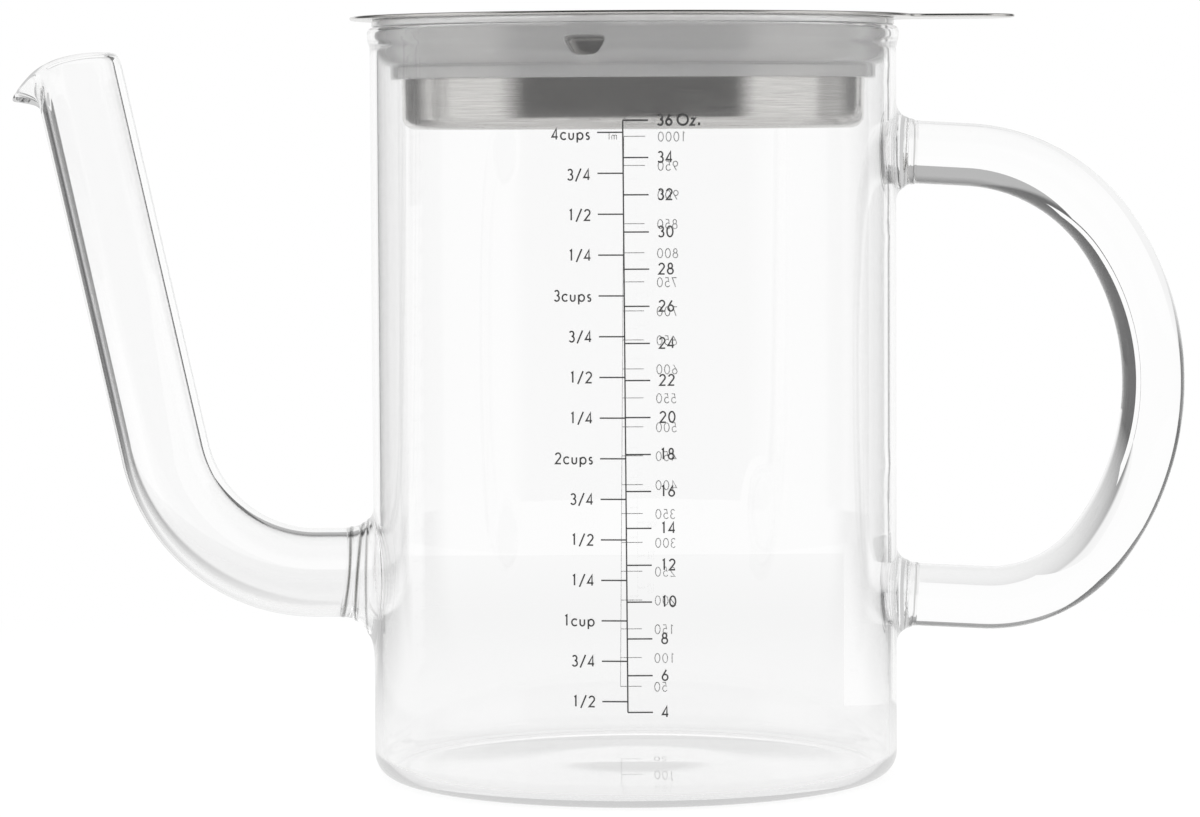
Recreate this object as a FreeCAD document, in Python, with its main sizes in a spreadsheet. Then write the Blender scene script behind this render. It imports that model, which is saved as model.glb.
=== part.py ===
import FreeCAD, Part
import math
import os
import Sketcher
from FreeCAD import Placement, Rotation, Vector

# A glass jug that separates fat from gravy: a lampworked borosilicate jug with a low spout and a
# bent rod handle, a silicone sealing ring in its mouth, and a pressed steel strainer in the ring.
# The origin is on the jug's axis at its underside, +Z is up and +X points along the handle.

doc = FreeCAD.newDocument("fat_separator")
sheet = doc.addObject("Spreadsheet::Sheet", "Sizes")

# Driving dimensions, in millimetres and degrees.
SIZES = {
    # jug
    "jug_radius": 52.45,             # outside of the wall
    "jug_wall": 1.6,
    "jug_height": 149.5,             # top of the fire-polished rim
    "base_corner_radius": 4.5,       # outside, between wall and underside
    "floor_corner_radius": 3.0,      # inside, between wall and floor
    "floor_thickness": 2.0,          # at the corner of the floor
    "floor_dome": 0.8,               # extra thickness in the middle of the floor
    "rim_bead": 0.6,                 # how far the rim stands out of the wall
    "rim_height": 3.4,
    # spout
    "spout_radius": 8.9,             # outside of the tube
    "spout_wall": 1.6,
    "spout_height": 40.6,            # centre of the tube where it leaves the jug
    "spout_run": 11.5,               # straight, from the jug's wall to the bend
    "spout_bend_radius": 30.9,       # of the centre line
    "spout_lean": 12.34,             # from upright
    "spout_leg": 81.3,               # straight, from the bend to the rim
    "beak_rise": 9.3,                # from the foot of the beak up to the rim
    "beak_reach": 14.1,              # from the tube's axis to the tip of the beak
    "beak_tip_radius": 2.2,
    "beak_tip_split": 14.0,          # half the angle of the tube's wall that becomes the tip
    "beak_depth": 2.4,               # height over which the beak swells out of the tube
    "beak_drop": 5.1,                # the tip's edge lies this far below the rim
    "beak_crown_radius": 20.0,       # of the rim's curve down to the tip, seen from the side
    "beak_back_radius": 80.0,        # of the rim's curve over the back of the tube
    "beak_back_drop": 1.0,           # the rim's curve has fallen this far one tube's width back
    # handle
    "rod_radius": 6.28,
    "handle_drop": 24.85,            # from the rim down to the rod's axis at the wall
    "handle_slope": 3.24,            # fall of the upper run
    "handle_run": 14.48,             # upper run, from the jug's wall to the first bend
    "handle_top_radius": 36.42,
    "handle_top_turn": 53.71,
    "handle_side_radius": 53.54,
    "handle_side_turn": 70.63,
    "handle_bottom_radius": 27.02,
    "handle_bottom_turn": 55.33,
    # welds where tube and rod are fused to the wall
    "spout_weld_length": 5.6,
    "spout_weld_flare": 7.6,
    "rod_weld_length": 3.9,
    "rod_weld_flare": 4.6,
    "weld_ridge": 0.3,
    # strainer
    "cup_depth": 22.3,               # from the flange's top to the cup's underside
    "cup_corner_radius": 2.6,
    "sheet_thickness": 0.6,
    "flange_overhang": 3.95,         # beyond the jug's wall
    "flange_corner_radius": 1.2,     # outside, where the wall turns into the flange
    "tab_length": 19.5,              # beyond the flange
    "tab_width": 24.0,
    "tab_corner_radius": 9.0,
    "screen_lip": 4.0,               # width of the cup's floor that carries the screen
    "screen_thickness": 0.5,
    "screen_edge_gap": 0.6,          # between the screen's edge and the cup's corner
    "screen_hole_radius": 1.0,
    "screen_hole_pitch": 4.0,        # from one ring of holes to the next
    "screen_hole_spacing": 4.19,     # along a ring
    # sealing ring
    "ring_collar_thickness": 1.45,
    "ring_collar_inset": 0.45,       # from the outside of the jug's wall in to the collar
    "ring_fit": 0.08,                # radial clearance to the glass and to the cup
    "ring_seat_gap": 0.05,           # between the collar and the rim's crown
    "ring_bulge_width": 4.09,        # between the cup and the glass
    "ring_bulge_height": 4.95,       # full-width part below the collar
    "ring_taper_height": 2.8,
    "ring_skirt_inset": 2.12,        # from the bulge in to the skirt
    "ring_skirt_height": 2.6,
    "vent_width": 7.2,
    "vent_height": 3.8,
    "vent_sill": 1.0,                # taper left below the vent
    "vent_angle": 10.2,              # from the front towards the spout
}

for row, (alias, size) in enumerate(SIZES.items(), start=1):
    sheet.set("A%d" % row, alias)
    sheet.set("B%d" % row, str(size))
    sheet.setAlias("B%d" % row, alias)
doc.recompute()


def value(expression):
    """A number worked out from the sheet's aliases."""
    return float(sheet.evalExpression(expression))


def bound(text):
    """The same expression as another object writes it, with Sizes. before each alias."""
    words = []
    word = ""
    for letter in text + " ":
        if letter.isalnum() or letter == "_":
            word += letter
            continue
        words.append("Sizes." + word if word in SIZES else word)
        words.append(letter)
        word = ""
    return "".join(words).strip()


# ---------------------------------------------------------------- sketches and features

def new_body(name):
    return doc.addObject("PartDesign::Body", name)


def origin_plane(body, role):
    for feature in body.Origin.OriginFeatures:
        if feature.Role == role:
            return feature
    raise RuntimeError("no plane " + role)


def new_sketch(body, name, role):
    sketch = body.newObject("Sketcher::SketchObject", name)
    sketch.AttachmentSupport = [(origin_plane(body, role), "")]
    sketch.MapMode = "FlatFace"
    return sketch


def constrain(sketch, expression, kind, *where):
    """A sketch constraint whose datum is bound to the sheet."""
    index = sketch.addConstraint(Sketcher.Constraint(kind, *where, value(expression)))
    sketch.setExpression("Constraints[%d]" % index, bound(expression))


def constrain_angle(sketch, expression, edge):
    radians = math.radians(value(expression))
    index = sketch.addConstraint(Sketcher.Constraint("Angle", edge, radians))
    sketch.setExpression("Constraints[%d]" % index, bound(expression))


def pin_point(sketch, edge, end, across, up):
    constrain(sketch, across, "DistanceX", edge, end)
    constrain(sketch, up, "DistanceY", edge, end)


def arc_centre(start, end, radius, side):
    """Centre of the short arc from start to end; side is 1 where it lies left of the chord."""
    chord = end - start
    half = chord.Length / 2
    away = math.sqrt(max(radius * radius - half * half, 0.0))
    left = Vector(-chord.y, chord.x, 0).normalize()
    return (start + end) * 0.5 + left * (side * away)


HALF_ROUND = "half round"


def profile(sketch, corners, closing=()):
    """A closed outline. A corner is (across, up), reached by a line, or (across, up, radius, side),
    reached by an arc whose centre is on the left (1) or right (-1). HALF_ROUND as the radius gives
    half a circle between two corners of one height. closing is the arc back to the first corner."""
    corners = [tuple(corners[0]) + tuple(closing)] + corners[1:]
    points = [Vector(value(corner[0]), value(corner[1]), 0) for corner in corners]
    count = len(corners)
    ends = []
    for index in range(count):
        corner = corners[(index + 1) % count]
        start = points[index]
        end = points[(index + 1) % count]
        if len(corner) == 2:
            edge = sketch.addGeometry(Part.LineSegment(start, end), False)
            ends.append((edge, 1, 2))
            continue
        radius, side = corner[2], corner[3]
        half_round = radius == HALF_ROUND
        reach = 0.0 if half_round else value(radius)
        centre = arc_centre(start, end, reach, side)
        first, last = (start, end) if side > 0 else (end, start)
        circle = Part.Circle(centre, Vector(0, 0, 1), (first - centre).Length)
        from_angle = math.atan2(first.y - centre.y, first.x - centre.x)
        to_angle = math.atan2(last.y - centre.y, last.x - centre.x)
        edge = sketch.addGeometry(Part.ArcOfCircle(circle, from_angle, to_angle), False)
        if half_round:
            constrain(sketch, corner[1], "DistanceY", edge, 3)
        else:
            constrain(sketch, radius, "Radius", edge)
        ends.append((edge, 1, 2) if side > 0 else (edge, 2, 1))
    for index in range(count):
        edge, start_point, end_point = ends[index]
        next_edge, next_start, next_end = ends[(index + 1) % count]
        corner = corners[(index + 1) % count]
        sketch.addConstraint(Sketcher.Constraint("Coincident", edge, end_point, next_edge, next_start))
        pin_point(sketch, edge, end_point, corner[0], corner[1])


def circle(sketch, across, up, radius):
    centre = Vector(value(across), value(up), 0)
    edge = sketch.addGeometry(Part.Circle(centre, Vector(0, 0, 1), value(radius)), False)
    pin_point(sketch, edge, 3, across, up)
    constrain(sketch, radius, "Radius", edge)


def route(sketch, start, heading, steps):
    """Straight runs and tangent arcs from a start point. A step is ("run", length) or
    ("turn", radius, degrees) and every turn is to the right."""
    point = Vector(value(start[0]), value(start[1]), 0)
    angle = value(heading)
    previous = None
    for step in steps:
        ahead = Vector(math.cos(math.radians(angle)), math.sin(math.radians(angle)), 0)
        right = Vector(ahead.y, -ahead.x, 0)
        if step[0] == "run":
            end = point + ahead * value(step[1])
            edge = sketch.addGeometry(Part.LineSegment(point, end), False)
            constrain(sketch, step[1], "Distance", edge)
            first, last = 1, 2
        else:
            radius, turn = value(step[1]), value(step[2])
            centre = point + right * radius
            from_angle = math.radians(angle + 90 - turn)
            to_angle = math.radians(angle + 90)
            arc = Part.ArcOfCircle(Part.Circle(centre, Vector(0, 0, 1), radius), from_angle, to_angle)
            edge = sketch.addGeometry(arc, False)
            constrain(sketch, step[1], "Radius", edge)
            constrain_angle(sketch, step[2], edge)
            angle -= turn
            end = centre + Vector(math.cos(from_angle), math.sin(from_angle), 0) * radius
            first, last = 2, 1
        if previous is None:
            pin_point(sketch, edge, first, start[0], start[1])
            constrain_angle(sketch, heading, edge)
        else:
            sketch.addConstraint(Sketcher.Constraint("Tangent", previous[0], previous[1], edge, first))
        previous = (edge, last)
        point = end
    return point, angle


def cross_section(body, name, station, heading):
    """A sketch square to a direction in the plane y = 0. heading is that direction's angle from
    +X towards +Z; the sketch's own x axis then lies in the plane y = 0 and its y axis is +Y."""
    sketch = new_sketch(body, name, "XY_Plane")
    turn = 90 - value(heading)
    place = Vector(value(station[0]), 0, value(station[1]))
    sketch.AttachmentOffset = Placement(place, Rotation(Vector(0, 1, 0), turn))
    sketch.setExpression(".AttachmentOffset.Base.x", bound(station[0]))
    sketch.setExpression(".AttachmentOffset.Base.z", bound(station[1]))
    sketch.setExpression(".AttachmentOffset.Rotation.Angle", bound("90 - (%s)" % heading))
    return sketch


def revolve(body, name, sketch):
    feature = body.newObject("PartDesign::Revolution", name)
    feature.Profile = sketch
    feature.ReferenceAxis = (sketch, ["V_Axis"])
    feature.Angle = 360
    return feature


def sweep(body, name, section, spine):
    feature = body.newObject("PartDesign::AdditivePipe", name)
    feature.Profile = section
    feature.Spine = spine
    return feature


def loft(body, name, first, second):
    feature = body.newObject("PartDesign::AdditiveLoft", name)
    feature.Profile = first
    feature.Sections = [second]
    feature.Ruled = True
    return feature


def pad(body, name, sketch, length):
    feature = body.newObject("PartDesign::Pad", name)
    feature.Profile = sketch
    feature.setExpression("Length", bound(length))
    return feature


def cut(name, base, tool):
    feature = doc.addObject("Part::Cut", name)
    feature.Base = base
    feature.Tool = tool
    return feature


pieces = {}


def keep(node, feature):
    """Name a finished piece. Its label is its node and its file."""
    feature.Label = node
    pieces[node] = feature


# ---------------------------------------------------------------- jug

def make_jug_body():
    body = new_body("JugWall")
    inside = "jug_radius - jug_wall"
    outer_corner = "base_corner_radius"
    inner_corner = "floor_corner_radius"
    crown = "(jug_wall + rim_bead) / 2"
    bead_foot = "jug_height - rim_height"
    bead_top = "jug_height - (%s)" % crown
    dome_radius = ("((%s - (%s))^2 + floor_dome^2) / (2 * floor_dome)" % (inside, inner_corner))
    outline = new_sketch(body, "JugOutline", "XZ_Plane")
    profile(outline, [
        ("0", "0"),
        ("jug_radius - %s" % outer_corner, "0"),
        ("jug_radius", outer_corner, outer_corner, 1),
        ("jug_radius", "%s - rim_bead" % bead_foot),
        ("jug_radius + rim_bead", "%s + rim_bead" % bead_foot),
        ("jug_radius + rim_bead", bead_top),
        (inside, bead_top, HALF_ROUND, 1),
        (inside, "floor_thickness + %s" % inner_corner),
        ("%s - (%s)" % (inside, inner_corner), "floor_thickness", inner_corner, -1),
        ("0", "floor_thickness + floor_dome", dome_radius, 1),
    ])
    revolve(body, "JugShell", outline)
    mouth = doc.addObject("Part::Cylinder", "SpoutOpening")
    mouth.Placement = Placement(Vector(0, 0, 0), Rotation(Vector(0, 1, 0), -90))
    mouth.setExpression("Radius", bound("spout_radius - spout_wall"))
    mouth.setExpression("Height", bound("jug_radius + spout_run"))
    mouth.setExpression("Placement.Base.z", bound("spout_height"))
    keep("jug_body", cut("JugBody", body, mouth))


def jug_outside(name):
    """The room that the jug's wall takes up, cut from everything that is fused to it."""
    room = doc.addObject("Part::Cylinder", name)
    room.setExpression("Radius", bound("jug_radius"))
    room.setExpression("Height", bound("jug_height"))
    return room


# ---------------------------------------------------------------- spout

LEG_HEADING = "90 + spout_lean"
BEND_CENTRE = ("-(jug_radius + spout_run)", "spout_height + spout_bend_radius")
LEG_START = (
    "%s - spout_bend_radius * cos(spout_lean * 1deg)" % BEND_CENTRE[0],
    "%s - spout_bend_radius * sin(spout_lean * 1deg)" % BEND_CENTRE[1],
)


def leg_point(along):
    """A point on the axis of the spout's leg, a distance up from the bend."""
    return (
        "%s - (%s) * sin(spout_lean * 1deg)" % (LEG_START[0], along),
        "%s + (%s) * cos(spout_lean * 1deg)" % (LEG_START[1], along),
    )


def round_section(sketch, radius, split):
    """A circle in five arcs, whose joints match beak_section's."""
    slope = "(%s)" % split
    side = "sqrt(1 - %s^2)" % slope
    tip = "cos(beak_tip_split * 1deg)"
    tip_side = "sin(beak_tip_split * 1deg)"
    profile(sketch, [
        ("%s" % radius, "0"),
        ("-(%s) * %s" % (radius, slope), "(%s) * %s" % (radius, side), radius, 1),
        ("-(%s) * %s" % (radius, tip), "(%s) * %s" % (radius, tip_side), radius, 1),
        ("-(%s) * %s" % (radius, tip), "-(%s) * %s" % (radius, tip_side), radius, 1),
        ("-(%s) * %s" % (radius, slope), "-(%s) * %s" % (radius, side), radius, 1),
    ], closing=(radius, 1))


def beak_section(sketch, radius, reach, tip_radius, split):
    """A circle drawn out on one side to a small round tip: two arcs joined by tangents."""
    slope = "(%s)" % split
    side = "sqrt(1 - %s^2)" % slope
    tip_centre = "((%s) - (%s))" % (reach, tip_radius)
    near = ("-(%s) * %s" % (radius, slope), "(%s) * %s" % (radius, side))
    far = ("-%s - (%s) * %s" % (tip_centre, tip_radius, slope), "(%s) * %s" % (tip_radius, side))
    profile(sketch, [
        ("%s" % radius, "0"),
        (near[0], near[1], radius, 1),
        (far[0], far[1]),
        (far[0], "-" + far[1], tip_radius, 1),
        (near[0], "-" + near[1]),
    ], closing=(radius, 1))


def spout_form(name, radius, reach, tip_radius, start, foot, top):
    """The spout as a solid: a bent tube whose top swells into a pouring beak."""
    body = new_body(name)
    spine = new_sketch(body, name + "Spine", "XZ_Plane")
    to_bend = "jug_radius + spout_run - (%s)" % start
    route(spine, ("-(%s)" % start, "spout_height"), "180", [
        ("run", to_bend),
        ("turn", "spout_bend_radius", "90 - spout_lean"),
        ("run", foot),
    ])
    entry = cross_section(body, name + "Entry", ("-(%s)" % start, "spout_height"), "180")
    circle(entry, "0", "0", radius)
    sweep(body, name + "Tube", entry, spine)
    split = "((%s) - (%s)) / ((%s) - (%s))" % (radius, tip_radius, reach, tip_radius)
    low = cross_section(body, name + "BeakFoot", leg_point(foot), LEG_HEADING)
    round_section(low, radius, split)
    beak_station = "(%s) + beak_depth" % foot
    high = cross_section(body, name + "BeakFull", leg_point(beak_station), LEG_HEADING)
    beak_section(high, radius, reach, tip_radius, split)
    loft(body, name + "Beak", low, high)
    pad(body, name + "Mouth", high, "(%s) - (%s)" % (top, beak_station))
    return body


def make_rim_cutter():
    """Everything above the spout's rim, which is level and then falls to the tip of the beak."""
    body = new_body("SpoutRimCutter")
    outline = new_sketch(body, "SpoutRimLine", "XZ_Plane")
    rim = leg_point("spout_leg")
    place = Vector(value(rim[0]), value(rim[1]), 0)
    outline.AttachmentOffset = Placement(place, Rotation(Vector(0, 0, 1), value("spout_lean")))
    outline.setExpression(".AttachmentOffset.Base.x", bound(rim[0]))
    outline.setExpression(".AttachmentOffset.Base.y", bound(rim[1]))
    outline.setExpression(".AttachmentOffset.Rotation.Angle", bound("spout_lean"))
    margin = "spout_radius"
    profile(outline, [
        ("spout_radius + %s" % margin, "-beak_back_drop"),
        ("0", "0", "beak_back_radius", 1),
        ("-beak_reach", "-beak_drop", "beak_crown_radius", 1),
        ("-beak_reach - %s" % margin, "-beak_drop"),
        ("-beak_reach - %s" % margin, margin),
        ("spout_radius + %s" % margin, margin),
    ])
    slab = pad(body, "SpoutRimSlab", outline, "2 * (spout_radius + %s)" % margin)
    slab.Midplane = True
    return body


def make_spout():
    outer = spout_form(
        "SpoutOutside",
        radius="spout_radius",
        reach="beak_reach",
        tip_radius="beak_tip_radius",
        start="jug_radius - jug_wall",
        foot="spout_leg - beak_rise",
        top="spout_leg + spout_wall",
    )
    bore = spout_form(
        "SpoutBore",
        radius="spout_radius - spout_wall",
        reach="beak_reach - spout_wall",
        tip_radius="beak_tip_radius - spout_wall",
        start="jug_radius - 2 * jug_wall",
        foot="spout_leg - beak_rise + spout_wall",
        top="spout_leg + 2 * spout_wall",
    )
    hollow = cut("SpoutHollow", outer, bore)
    trimmed = cut("SpoutTrimmed", hollow, make_rim_cutter())
    keep("spout_tube", cut("SpoutTube", trimmed, jug_outside("RoomForSpout")))


# ---------------------------------------------------------------- welds and handle

def make_weld(node, tube_radius, length, flare, wall_height, heading):
    """The fused collar round a tube's end, which sweeps out on to the jug's wall. It is turned
    about its own Z axis, which starts on the jug's axis and points out along the tube."""
    body = new_body(node + "_form")
    outline = new_sketch(body, node + "_outline", "XZ_Plane")
    foot = "(%s + weld_ridge + %s)" % (tube_radius, flare)
    end = "(jug_radius + %s)" % length
    inner_end = "sqrt(jug_radius^2 - %s^2) - jug_wall" % foot
    profile(outline, [
        (tube_radius, inner_end),
        (foot, inner_end),
        (foot, "%s - %s" % (end, flare)),
        ("%s + weld_ridge" % tube_radius, end, flare, -1),
        (tube_radius, end),
    ])
    revolve(body, node + "_turned", outline)
    body.Placement = Placement(Vector(0, 0, wall_height), Rotation(Vector(0, 1, 0), 90 - heading))
    keep(node, cut(node + "_collar", body, jug_outside(node + "_room")))


def make_handle():
    body = new_body("HandleForm")
    spine = new_sketch(body, "HandleSpine", "XZ_Plane")
    start = ("jug_radius - jug_wall", "jug_height - handle_drop")
    end, end_heading = route(spine, start, "-handle_slope", [
        ("run", "handle_run + jug_wall"),
        ("turn", "handle_top_radius", "handle_top_turn"),
        ("turn", "handle_side_radius", "handle_side_turn"),
        ("turn", "handle_bottom_radius", "handle_bottom_turn"),
        ("run", "jug_radius"),
    ])
    section = cross_section(body, "HandleSection", start, "-handle_slope")
    circle(section, "0", "0", "rod_radius")
    sweep(body, "HandleRod", section, spine)
    keep("handle_rod", cut("HandleTrimmed", body, jug_outside("RoomForHandle")))

    upper_heading = value("-handle_slope")
    upper_rise = math.tan(math.radians(upper_heading)) * value(start[0])
    upper_height = value(start[1]) - upper_rise
    lower_heading = end_heading + 180
    lower_height = end.y - math.tan(math.radians(lower_heading)) * end.x
    for node, height, heading in (
        ("handle_upper_weld", upper_height, upper_heading),
        ("handle_lower_weld", lower_height, lower_heading),
    ):
        make_weld(node, "rod_radius", "rod_weld_length", "rod_weld_flare", height, heading)


def make_spout_weld():
    height = value("spout_height")
    make_weld("spout_weld", "spout_radius", "spout_weld_length", "spout_weld_flare", height, 180)


# ---------------------------------------------------------------- sealing ring

COLLAR_RADIUS = "(jug_radius - ring_collar_inset)"
COLLAR_BOTTOM = "(jug_height + ring_seat_gap)"
COLLAR_TOP = "(%s + ring_collar_thickness)" % COLLAR_BOTTOM
BULGE_RADIUS = "(jug_radius - jug_wall - ring_fit)"
BULGE_BOTTOM = "(%s - ring_bulge_height)" % COLLAR_BOTTOM
TAPER_BOTTOM = "(%s - ring_taper_height)" % BULGE_BOTTOM
SKIRT_RADIUS = "(%s - ring_skirt_inset)" % BULGE_RADIUS
RING_BORE = "(%s - ring_bulge_width)" % BULGE_RADIUS
CUP_RADIUS = "(%s - ring_fit)" % RING_BORE       # outside of the strainer's wall


def make_sealing_ring():
    body = new_body("RingForm")
    outline = new_sketch(body, "RingOutline", "XZ_Plane")
    bottom = "%s - ring_skirt_height" % TAPER_BOTTOM
    profile(outline, [
        (RING_BORE, bottom),
        (SKIRT_RADIUS, bottom),
        (SKIRT_RADIUS, TAPER_BOTTOM),
        (BULGE_RADIUS, BULGE_BOTTOM),
        (BULGE_RADIUS, COLLAR_BOTTOM),
        (COLLAR_RADIUS, COLLAR_BOTTOM),
        (COLLAR_RADIUS, COLLAR_TOP),
        ("%s + flange_corner_radius" % RING_BORE, COLLAR_TOP),
        (RING_BORE, "%s - flange_corner_radius" % COLLAR_TOP),
    ])
    revolve(body, "RingTurned", outline)

    vent = doc.addObject("Part::Box", "VentWindow")
    turn = "vent_angle * 1deg"
    across = "(vent_width / 2)"
    vent.Placement = Placement(Vector(0, 0, 0), Rotation(Vector(0, 0, 1), -value("vent_angle")))
    bindings = {
        "Length": "vent_width",
        "Width": "%s - %s" % (COLLAR_RADIUS, CUP_RADIUS),
        "Height": "vent_height",
        "Placement.Base.x": "-%s * cos(%s) - %s * sin(%s)" % (across, turn, COLLAR_RADIUS, turn),
        "Placement.Base.y": "%s * sin(%s) - %s * cos(%s)" % (across, turn, COLLAR_RADIUS, turn),
        "Placement.Base.z": "%s + vent_sill" % TAPER_BOTTOM,
    }
    for target, expression in bindings.items():
        vent.setExpression(target, bound(expression))
    keep("sealing_ring", cut("SealingRing", body, vent))


# ---------------------------------------------------------------- strainer

FLANGE_RADIUS = "(jug_radius + flange_overhang)"
FLANGE_BOTTOM = COLLAR_TOP
FLANGE_TOP = "(%s + sheet_thickness)" % FLANGE_BOTTOM
CUP_BOTTOM = "(%s - cup_depth)" % FLANGE_TOP
CUP_FLAT_RADIUS = "(%s - cup_corner_radius)" % CUP_RADIUS
LIP_RADIUS = "(%s - screen_lip)" % CUP_FLAT_RADIUS


def make_strainer_cup():
    body = new_body("StrainerCup")
    outline = new_sketch(body, "CupOutline", "XZ_Plane")
    inner_corner = "cup_corner_radius - sheet_thickness"
    outer_bend = "flange_corner_radius + sheet_thickness"
    cup_inside = "%s - sheet_thickness" % CUP_RADIUS
    flange_inner = "%s + flange_corner_radius" % CUP_RADIUS
    profile(outline, [
        (FLANGE_RADIUS, FLANGE_BOTTOM),
        (FLANGE_RADIUS, FLANGE_TOP),
        (flange_inner, FLANGE_TOP),
        (cup_inside, "%s - flange_corner_radius" % FLANGE_BOTTOM, outer_bend, 1),
        (cup_inside, "%s + cup_corner_radius" % CUP_BOTTOM),
        (CUP_FLAT_RADIUS, "%s + sheet_thickness" % CUP_BOTTOM, inner_corner, -1),
        (LIP_RADIUS, "%s + sheet_thickness" % CUP_BOTTOM),
        (LIP_RADIUS, CUP_BOTTOM),
        (CUP_FLAT_RADIUS, CUP_BOTTOM),
        (CUP_RADIUS, "%s + cup_corner_radius" % CUP_BOTTOM, "cup_corner_radius", 1),
        (CUP_RADIUS, "%s - flange_corner_radius" % FLANGE_BOTTOM),
        (flange_inner, FLANGE_BOTTOM, "flange_corner_radius", -1),
    ])
    revolve(body, "CupTurned", outline)

    tab = new_sketch(body, "TabOutline", "XY_Plane")
    tab.AttachmentOffset = Placement(Vector(0, 0, value(FLANGE_BOTTOM)), Rotation())
    tab.setExpression(".AttachmentOffset.Base.z", bound(FLANGE_BOTTOM))
    root = "(%s + %s) / 2" % (CUP_RADIUS, FLANGE_RADIUS)
    end = "(%s + tab_length)" % FLANGE_RADIUS
    edge = "tab_width / 2"
    corner = "tab_corner_radius"
    profile(tab, [
        (root, "-" + edge),
        ("%s - %s" % (end, corner), "-" + edge),
        (end, "-%s + %s" % (edge, corner), corner, 1),
        (end, "%s - %s" % (edge, corner)),
        ("%s - %s" % (end, corner), edge, corner, 1),
        (root, edge),
    ])
    pad(body, "Tab", tab, "sheet_thickness")
    keep("strainer_cup", body)


def make_strainer_screen():
    body = new_body("StrainerScreen")
    seat = "%s + sheet_thickness" % CUP_BOTTOM
    disc = new_sketch(body, "ScreenDisc", "XY_Plane")
    disc.AttachmentOffset = Placement(Vector(0, 0, value(seat)), Rotation())
    disc.setExpression(".AttachmentOffset.Base.z", bound(seat))
    circle(disc, "0", "0", "%s - screen_edge_gap" % CUP_FLAT_RADIUS)
    pad(body, "ScreenPlate", disc, "screen_thickness")

    clear_radius = value("%s - 2 * screen_hole_radius" % LIP_RADIUS)
    pitch = value("screen_hole_pitch")
    spacing = value("screen_hole_spacing")
    rings = int(clear_radius / pitch)
    for ring in range(rings + 1):
        hole = new_sketch(body, "Hole%d" % ring, "XY_Plane")
        top = "%s + screen_thickness" % seat
        hole.AttachmentOffset = Placement(Vector(0, 0, value(top)), Rotation())
        hole.setExpression(".AttachmentOffset.Base.z", bound(top))
        circle(hole, "screen_hole_pitch * %d" % ring, "0", "screen_hole_radius")
        through = "2 * screen_thickness"
        pocket = body.newObject("PartDesign::Pocket", "HoleCut%d" % ring)
        pocket.Profile = hole
        pocket.setExpression("Length", bound(through))
        if ring == 0:
            continue
        pattern = body.newObject("PartDesign::PolarPattern", "HoleRing%d" % ring)
        pattern.Originals = [pocket]
        pattern.Axis = (disc, ["N_Axis"])
        pattern.Angle = 360
        pattern.Occurrences = round(2 * math.pi * ring * pitch / spacing)
        body.Tip = pattern
    keep("strainer_screen", body)


# ---------------------------------------------------------------- the whole

make_jug_body()
make_spout()
make_spout_weld()
make_handle()
make_sealing_ring()
make_strainer_cup()
make_strainer_screen()
doc.recompute()

for item in doc.Objects:
    if "Invalid" in item.State or "Error" in item.State:
        raise RuntimeError("%s failed to build" % item.Name)
for node, feature in pieces.items():
    shape = feature.Shape
    if shape.isNull() or not shape.isValid() or len(shape.Solids) != 1:
        raise RuntimeError("%s is not one sound solid" % node)

os.makedirs("parts", exist_ok=True)
for node, feature in pieces.items():
    feature.Shape.exportStep("parts/%s.step" % node)
    print("%-20s %10.1f mm3" % (node, feature.Shape.Volume))
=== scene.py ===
import copy
import math

import bmesh
import bpy
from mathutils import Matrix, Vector


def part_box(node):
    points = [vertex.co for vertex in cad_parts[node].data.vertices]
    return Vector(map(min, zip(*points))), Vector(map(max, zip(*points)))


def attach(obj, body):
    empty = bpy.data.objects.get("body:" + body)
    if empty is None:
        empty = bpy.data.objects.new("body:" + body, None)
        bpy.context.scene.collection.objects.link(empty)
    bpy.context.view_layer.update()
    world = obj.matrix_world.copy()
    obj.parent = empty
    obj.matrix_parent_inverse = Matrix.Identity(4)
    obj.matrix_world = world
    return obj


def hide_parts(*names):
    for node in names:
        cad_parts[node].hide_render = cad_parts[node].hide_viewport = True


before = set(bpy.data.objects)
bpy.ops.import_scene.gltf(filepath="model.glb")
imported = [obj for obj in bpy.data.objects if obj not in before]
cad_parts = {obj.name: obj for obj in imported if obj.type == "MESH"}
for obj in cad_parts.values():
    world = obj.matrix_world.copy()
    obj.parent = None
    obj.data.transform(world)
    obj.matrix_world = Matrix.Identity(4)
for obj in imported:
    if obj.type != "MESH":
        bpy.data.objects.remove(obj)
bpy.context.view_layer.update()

# The visual model of a glass gravy fat separator. Lengths are in millimetres and angles in
# degrees until a mesh is written, which is in metres. The origin is on the jug's axis at its
# underside, +Z is up, the handle is at +X and the spout at -X.

MM = 0.001
TURN = 2 * math.pi


def corners(node):
    """Lowest and highest corner of a CAD node, in millimetres."""
    low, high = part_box(node)
    return low / MM, high / MM


jug_high = corners("jug_body")[1]
seal_low, seal_high = corners("sealing_ring")
cup_low, cup_high = corners("strainer_cup")

# Jug
JUG_HEIGHT = jug_high.z
RIM_BEAD = 0.6                       # how far the CAD's rim stands out of the wall
OUTER = jug_high.x - RIM_BEAD        # outside of the wall
RIM_SWELL = 0.52                     # how far the fire-polished rim stands out here
RIM_FOOT = 4.6                       # below the top, where the wall starts to swell
WALL = 1.6
INNER = OUTER - WALL
BASE_CORNER = 4.5                    # outside, between wall and underside
FLOOR_CORNER = 3.0                   # inside, between wall and floor
FLOOR_THICKNESS = 2.0
FLOOR_DOME = 0.8
PUNT = 0.9                           # hollow of the underside

# Spout
SPOUT_RADIUS = 8.9
SPOUT_BORE = SPOUT_RADIUS - WALL
SPOUT_HEIGHT = 40.6
SPOUT_RUN = 11.5
SPOUT_BEND = 30.9
SPOUT_LEAN = 12.34
SPOUT_LEG = 81.3
BEAK_FOOT = 66.0                     # up the leg, where the tube starts to change
BEAK_REACH = 13.4
BEAK_TIP = 2.4

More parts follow.
